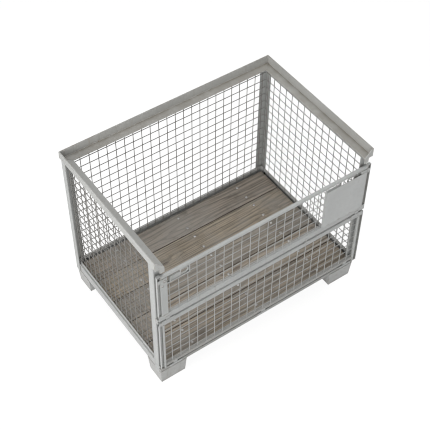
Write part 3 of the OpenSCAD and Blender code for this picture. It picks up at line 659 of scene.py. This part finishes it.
# Welds of the fixed cage, and dark lumps that paint the shade in its drain slots

def post_welds(p, side, tag, where, back):
    """A corner post to the ledge above it and to the outside of the base frame."""
    rail_low, rail_high = corners("base_rail_" + tag)
    low, high = corners(f"post_{where}_{tag}")
    top, foot = high.z, low.z
    x_rail = outward(rail_low.x, rail_high.x, side)[0]
    x_out, x_in = outward(low.x, high.x, side)
    y_out, y_in = outward(low.y, high.y, back)
    # Outside along both legs, and inside along the wider one
    x_leg, y_leg = x_out - side * 0.003, y_out - back * POST_STEEL
    p.bead((x_leg, y_out - back * 0.006, top), (x_leg, y_in, top), (side, 0, -1))
    p.bead((x_out - side * 0.006, y_out, top), (x_in, y_out, top), (0, back, -1))
    p.bead((x_in + side * 0.001, y_leg, top), (x_out - side * 0.008, y_leg, top), (0, -back, -1), INNER_BEAD)
    for start, end in POST_EDGE_WELDS:
        p.bead((x_rail, y_in, foot + start), (x_rail, y_in, foot + end), (side, -back, 0), EDGE_BEAD)
    x_foot = x_rail + side * 0.001
    p.bead((x_foot, y_out - back * 0.008, foot), (x_foot, y_in, foot), (side, 0, -1), SEAM_BEAD)


def foot_welds(p, node):
    """A bead round the top of a foot."""
    low, high = corners(node)
    ring = [(low.x, low.y), (high.x, low.y), (high.x, high.y), (low.x, high.y)]
    for k, out in enumerate(((0, -1), (1, 0), (0, 1), (-1, 0))):
        p.bead((*ring[k], high.z), (*ring[(k + 1) % 4], high.z), (*out, -0.6), FOOT_BEAD)


def rim_welds(p, side, tag):
    """The rim's back corner, up the lip and across the ledge, and the end plate on its section."""
    low, high = corners("rim_" + tag)
    x_rim, x_inner = outward(low.x, high.x, side)
    width = high.x - low.x
    y_back = corners("rim_back")[1].y
    ledge = low.z + RIM_STEEL
    p.bead((x_rim, y_back, low.z + 0.005), (x_rim, y_back, high.z - 0.001), (side, 1, 0), SEAM_BEAD)
    p.bead((x_rim - side * RIM_CORNER, y_back - RIM_CORNER, ledge), (x_inner, y_back - width, ledge),
           (0, 0, 1), EDGE_BEAD)
    end = corners("rim_end_" + tag)[1]
    p.bead((x_rim, end.y, low.z + 0.008), (x_rim, end.y, end.z - 0.002), (side, 0.2, 0), EDGE_BEAD)
    p.bead((x_inner, end.y, ledge), (x_rim - side * RIM_CORNER, end.y, ledge), (0, 1, 1), SEAM_BEAD)


def keeper_welds(p, tag):
    """The keeper plate and the lock pin's block to the front post."""
    for low, high in solids("keeper_" + tag):
        for x, out in ((low.x, -1), (high.x, 1)):
            p.bead((x, high.y, low.z + 0.001), (x, high.y, high.z - 0.001), (out, -1, 0), SEAM_BEAD)


def frame_welds():
    """The beads of the fixed cage."""
    p = Parts()
    for side, tag in ((-1, "left"), (1, "right")):
        for where, back in (("front", -1), ("back", 1)):
            post_welds(p, side, tag, where, back)
            foot_welds(p, f"foot_{where}_{tag}")
        rim_welds(p, side, tag)
        keeper_welds(p, tag)
        low, high = corners("mesh_bar_" + tag)
        x = outward(low.x, high.x, side)[0]
        for start, end in stitches(low.y, high.y, margin=0.04, pitch=0.11, length=0.03):
            p.bead((x, start, high.z), (x, end, high.z), (side, 0, -1), SEAM_BEAD)
    low, high = corners("mesh_bar_back")
    for start, end in stitches(low.x, high.x, margin=0.06, pitch=0.12, length=0.03):
        p.bead((start, high.y, high.z), (end, high.y, high.z), (0, 1, -1), SEAM_BEAD)
    p.make("frame_weld_beads", paint_weld, "frame")


def slot_shade_lumps():
    """Dark lumps behind the drain slots in the base frame, beside the posts: painted shade seen through the
    slots.
    """
    p = Parts()
    for side, tag in ((-1, "left"), (1, "right")):
        node = "base_rail_" + tag
        low, high = corners(node)
        x_out = outward(low.x, high.x, side)[0]
        # The only points within the outer face's outline are those on the rims of its two slots
        rims = [v.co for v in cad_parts[node].data.vertices if abs(v.co.x - x_out) < TOUCH
                and low.y + 0.02 < v.co.y < high.y - 0.02 and low.z + 0.001 < v.co.z < high.z - 0.001]
        for end in (-1, 1):
            ys = [c.y for c in rims if c.y * end > 0]
            zs = [c.z for c in rims if c.y * end > 0]
            middle = (x_out - side * SHADE_LUMP_DEPTH, (min(ys) + max(ys)) / 2, (min(zs) + max(zs)) / 2)
            radii = (SHADE_LUMP_HALF, (max(ys) - min(ys)) * SHADE_LUMP_WIDTH, (max(zs) - min(zs)) * SHADE_LUMP_HEIGHT)
            p.lump(middle, radii, 12)
    p.make("slot_shade_lumps", shade_lump_surface("slot_shade_lumps"), "frame")


frame_welds()
slot_shade_lumps()


# Welds of the wire panels

def clusters(values, gap):
    """Middles of the groups of values that lie within a gap of each other."""
    groups = []
    for v in sorted(values):
        if groups and v - groups[-1][-1] < gap:
            groups[-1].append(v)
        else:
            groups.append([v])
    return [(g[0] + g[-1]) / 2 for g in groups]


def wires(co, along, across, v, outermost):
    """The wires of a panel that run along one axis, found by their ends at that axis's min or max.

    Returns the start and end of each by its place across, then where they lie on axis v, and their radius."""
    tip = outermost(c[along] for c in co)
    ends = [c for c in co if abs(c[along] - tip) < TOUCH]
    near, far = min(c[v] for c in ends), max(c[v] for c in ends)
    depth, r = (near + far) / 2, (far - near) / 2
    spans = {}
    for at in clusters([c[across] for c in ends], WIRE_GAP):
        run = [c[along] for c in co if math.hypot(c[across] - at, c[v] - depth) < r + 1e-4]
        spans[at] = (min(run), max(run))
    return spans, depth, r


def mesh_welds(node, u, body):
    """A nugget where two wires cross, and welds at their ends. u is the axis of the level wires."""
    v = 1 - u
    co = [vert.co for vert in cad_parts[node].data.vertices]
    columns, v_col, r = wires(co, 2, u, v, min)
    rows, v_row, _ = wires(co, u, 2, v, max)

    def place(a, b, z):
        return (a, b, z) if u == 0 else (b, a, z)

    p = Parts()
    crossings = [(x, z) for x, (low, high) in columns.items() for z, (start, end) in rows.items()
                 if low <= z <= high and start <= x <= end]
    for k, (x, z) in enumerate(crossings, 1):
        width = NUGGET_WIDTH * r * (1 + 0.12 * noise.noise(Vector((x * 31, z * 37, k * 0.3))))
        p.lump(place(x, (v_col + v_row) / 2, z), place(width, NUGGET_DEPTH * r, width))
    in_flap = body != "frame"
    if in_flap:
        for x, (low, high) in columns.items():
            for z, up in ((low, 1), (high, -1)):
                p.blob(place(x, v_col, z), (0, 0, up), FILLET_WIDTH * r, FILLET_HEIGHT * r)
        for z, (start, end) in rows.items():
            for x, way in ((start, 1), (end, -1)):
                p.blob(place(x, v_row, z), place(way, 0, 0), FILLET_WIDTH * r, FILLET_HEIGHT * r)
    else:
        # The upright wires lap the bars at the top and the upstand at the bottom
        out = 1 if v_col > 0 else -1
        for x, (low, high) in columns.items():
            for z in (low + LAP_UP, *(high - down for down in LAP_DOWN)):
                p.lump(place(x, v_col + out * r, z), place(LAP_WIDTH * r, LAP_DEPTH * r, LAP_HALF))
    p.make(node + "_welds", paint_wire if in_flap else paint_wire_shaded, body)


mesh_welds("mesh_left", 1, "frame")
mesh_welds("mesh_right", 1, "frame")
mesh_welds("mesh_back", 0, "frame")
mesh_welds("lower_mesh", 0, "lower_flap")
mesh_welds("upper_mesh", 0, "upper_flap")


# Welds of the flaps and heads of the hinge pins

def leaf_welds(p, node, pins, face_y):
    """Beads round the hinge leaves of a node: along each leaf's free edge and down its two ends."""
    low, high = corners(pins)
    line = (low.z + high.z) / 2
    for low, high in solids(node):
        way = 1 if abs(high.z - line) > abs(low.z - line) else -1
        edge_z = high.z if way > 0 else low.z
        near_z = line + way * KNUCKLE_HALF
        p.bead((low.x + 0.001, face_y, edge_z), (high.x - 0.001, face_y, edge_z), (0, -1, way), SHEET_BEAD)
        if abs(edge_z - near_z) > LEAF_REACH and high.z - low.z > LEAF_HEIGHT:
            for x, out in ((low.x, -1), (high.x, 1)):
                p.bead((x, face_y, near_z), (x, face_y, edge_z), (out, -1, 0), LEAF_BEAD)


def end_section_welds(p, x_in, x_strip, x_end, side, face, z):
    """A flap's end section to a rail: across the strip's face and along the rail's end."""
    p.bead((x_in, face, z), (x_strip, face, z), (0, -1, 0), SHEET_BEAD)
    p.bead((x_end, face + 0.012, z), (x_end, face + 0.001, z), (side, 0, 0), EDGE_BEAD)


def tube_end_weld(p, x, side, y, z, r):
    """The end of a tube to the plate behind it, round the tube's front and top."""
    rings = []
    for k in range(TUBE_WELD_STEPS + 1):
        turn = math.radians(TUBE_WELD_START + TUBE_WELD_TURN * k / TUBE_WELD_STEPS)
        d = Vector((0, -math.cos(turn), math.sin(turn)))
        at = Vector((x + side * 0.0005, y, z)) + d * r
        size = EDGE_BEAD * (0.9 + 0.15 * noise.noise(at * 300))
        rings.append([at + (Vector((side, 0, 0)) * a + d * b) * size for a, b in circle(BEAD_SIDES)])
    p.ring_tube(rings)


def guide_welds(p, side, tag, z_tube):
    """A latch guide: its outer end to the strip and its end bar to the tube."""
    low, high = corners("latch_guide_" + tag)
    x_out, x_bar = outward(low.x, high.x, side)
    p.bead((x_out, low.y + 0.001, low.z), (x_out, high.y - 0.001, low.z), (0, 0, -1), FITTING_BEAD)
    p.bead((x_bar, low.y, z_tube), (x_bar + side * 0.005, low.y, z_tube), (0, -1, -1), FITTING_BEAD)


def upper_flap_welds():
    """The beads of the upper flap."""
    p = Parts()
    rail_low, rail_high = corners("upper_bottom_rail")
    tube_low, tube_high = corners("upper_top_tube")
    tube = (tube_low + tube_high) / 2
    face = rail_low.y
    for side, tag in ((-1, "left"), (1, "right")):
        low, high = corners("upper_side_" + tag)
        x_end, x_in = outward(low.x, high.x, side)
        x_tube = outward(tube_low.x, tube_high.x, side)[0]
        end_section_welds(p, x_in, x_tube, x_end, side, face, rail_high.z)
        y, z = tube.y - 0.005, tube_low.z + 0.0005
        p.bead((x_in, y, z), (x_tube - side * 0.001, y, z), (0, -1, -1), FITTING_BEAD)
        tube_end_weld(p, x_tube, side, tube.y, tube.z, (tube_high.z - tube_low.z) / 2)
        guide_welds(p, side, tag, tube_low.z + 0.001)
    leaf_welds(p, "upper_mid_knuckles", "mid_hinge_pins", face)
    # The sign plate's lower edge
    low, high = corners("sign_plate")
    for start, end in stitches(low.x, high.x, margin=0.03, pitch=0.07, length=0.018):
        p.bead((start, low.y, rail_high.z), (end, low.y, rail_high.z), (0, -1, -1), STITCH_BEAD)
    p.make("upper_flap_weld_beads", paint_weld, "upper_flap")


def ear_welds(p, tag):
    """The lock pin's ears to the inside of the top rail."""
    for low, high in solids("lock_ear_" + tag):
        for z, up in ((low.z, 1), (high.z, -1)):
            for x, out in ((low.x, -1), (high.x, 1)):
                p.bead((x, low.y + 0.003, z), (x, low.y + 0.011, z), (out, 0, up), LEAF_BEAD)


def lower_flap_welds():
    """The beads of the lower flap."""
    p = Parts()
    rail_low = corners("lower_top_rail")[0]
    sill_low, sill_high = corners("lower_bottom_rail")
    face = rail_low.y
    for side, tag in ((-1, "left"), (1, "right")):
        low, high = corners("lower_side_" + tag)
        x_end, x_in = outward(low.x, high.x, side)
        end_section_welds(p, x_in, x_in + side * LOWER_STRIP, x_end, side, face, rail_low.z)
        p.bead((x_in, face, sill_low.z + 0.001), (x_in, face, sill_high.z - 0.001), (0, -1, 0), SHEET_BEAD)
        ear_welds(p, tag)
    leaf_welds(p, "lower_mid_knuckles", "mid_hinge_pins", face)
    leaf_welds(p, "lower_hinge_knuckles", "base_hinge_pins", face)
    p.make("lower_flap_weld_beads", paint_weld, "lower_flap")


def pin_heads(node, body):
    """A peened head on each end of each hinge pin."""
    p = Parts()
    for low, high in solids(node):
        c = (low + high) / 2
        for x, out in ((low.x, -1), (high.x, 1)):
            p.blob((x, c.y, c.z), (out, 0, 0), (high.z - low.z) / 2 * HEAD_WIDTH, HEAD_HEIGHT, 12)
    p.make(node + "_heads", zinc, body)


upper_flap_welds()
lower_flap_welds()
pin_heads("base_hinge_pins", "frame")
pin_heads("mid_hinge_pins", "lower_flap")


# Floor, backdrop and lamps

def sees_backdrop(tree):
    """Adds nodes to a tree that give 1 for the rays that see the white backdrop."""
    rays = tree.nodes.new("ShaderNodeLightPath").outputs
    seen = rays["Is Camera Ray"]
    for kind in ("Is Glossy Ray", "Is Transmission Ray"):
        most = tree.nodes.new("ShaderNodeMath")
        most.operation = "MAXIMUM"
        tree.links.new(seen, most.inputs[0])
        tree.links.new(rays[kind], most.inputs[1])
        seen = most.outputs[0]
    return seen


def make_floor():
    """A pale floor that keeps the cage's shadow and is otherwise as white as the backdrop."""
    n = Nodes("pale_floor")
    shade = n.add("ShaderNodeBsdfDiffuse", Color=FLOOR_COLOUR)
    glow = n.add("ShaderNodeEmission", Color=WHITE, Strength=FLOOR_GLOW)
    mixer = n.add("ShaderNodeMixShader")
    n.tree.links.new(n.times(sees_backdrop(n.tree), FLOOR_GLOW_SHARE), mixer.inputs[0])
    n.tree.links.new(shade.outputs[0], mixer.inputs[1])
    n.tree.links.new(glow.outputs[0], mixer.inputs[2])
    n.add("ShaderNodeOutputMaterial", Surface=mixer.outputs[0])
    mesh = bpy.data.meshes.new("floor")
    around = ((-1, -1), (1, -1), (1, 1), (-1, 1))
    mesh.from_pydata([(x * FLOOR_HALF, y * FLOOR_HALF, 0) for x, y in around], [], [(0, 1, 2, 3)])
    mesh.materials.append(n.mat)
    floor = bpy.data.objects.new("floor", mesh)
    bpy.context.scene.collection.objects.link(floor)


def make_world():
    """Soft light from all round, and a white backdrop for the rays that see it."""
    world = bpy.data.worlds.new("world")
    bpy.context.scene.world = world
    world.use_nodes = True
    tree = world.node_tree
    tree.nodes.clear()
    soft = tree.nodes.new("ShaderNodeBackground")
    soft.inputs["Color"].default_value = SKY_COLOUR
    soft.inputs["Strength"].default_value = SKY_STRENGTH
    white = tree.nodes.new("ShaderNodeBackground")
    white.inputs["Color"].default_value = WHITE
    mixer = tree.nodes.new("ShaderNodeMixShader")
    tree.links.new(sees_backdrop(tree), mixer.inputs[0])
    tree.links.new(soft.outputs[0], mixer.inputs[1])
    tree.links.new(white.outputs[0], mixer.inputs[2])
    tree.links.new(mixer.outputs[0], tree.nodes.new("ShaderNodeOutputWorld").inputs[0])


def lamp(name, at, size, watts):
    """A round soft lamp that looks at the middle of the cage."""
    data = bpy.data.lights.new(name, "AREA")
    data.shape = "DISK"
    data.size = size
    data.energy = watts
    o = bpy.data.objects.new(name, data)
    o.location = at
    o.rotation_euler = (Vector(at) - Vector(LAMP_AIM)).to_track_quat("Z", "Y").to_euler()
    bpy.context.scene.collection.objects.link(o)


make_floor()
make_world()
lamp("key", (-4.9, -0.9, 2.2), size=1.8, watts=126)
lamp("front", (-2.2, -5.0, 2.0), size=1.8, watts=70)
lamp("sky", (0.6, 0.2, 4.2), size=3.2, watts=56)

scene = bpy.context.scene
scene.view_settings.view_transform = "Standard"
scene.cycles.filter_width = 1.1

bpy.context.view_layer.update()
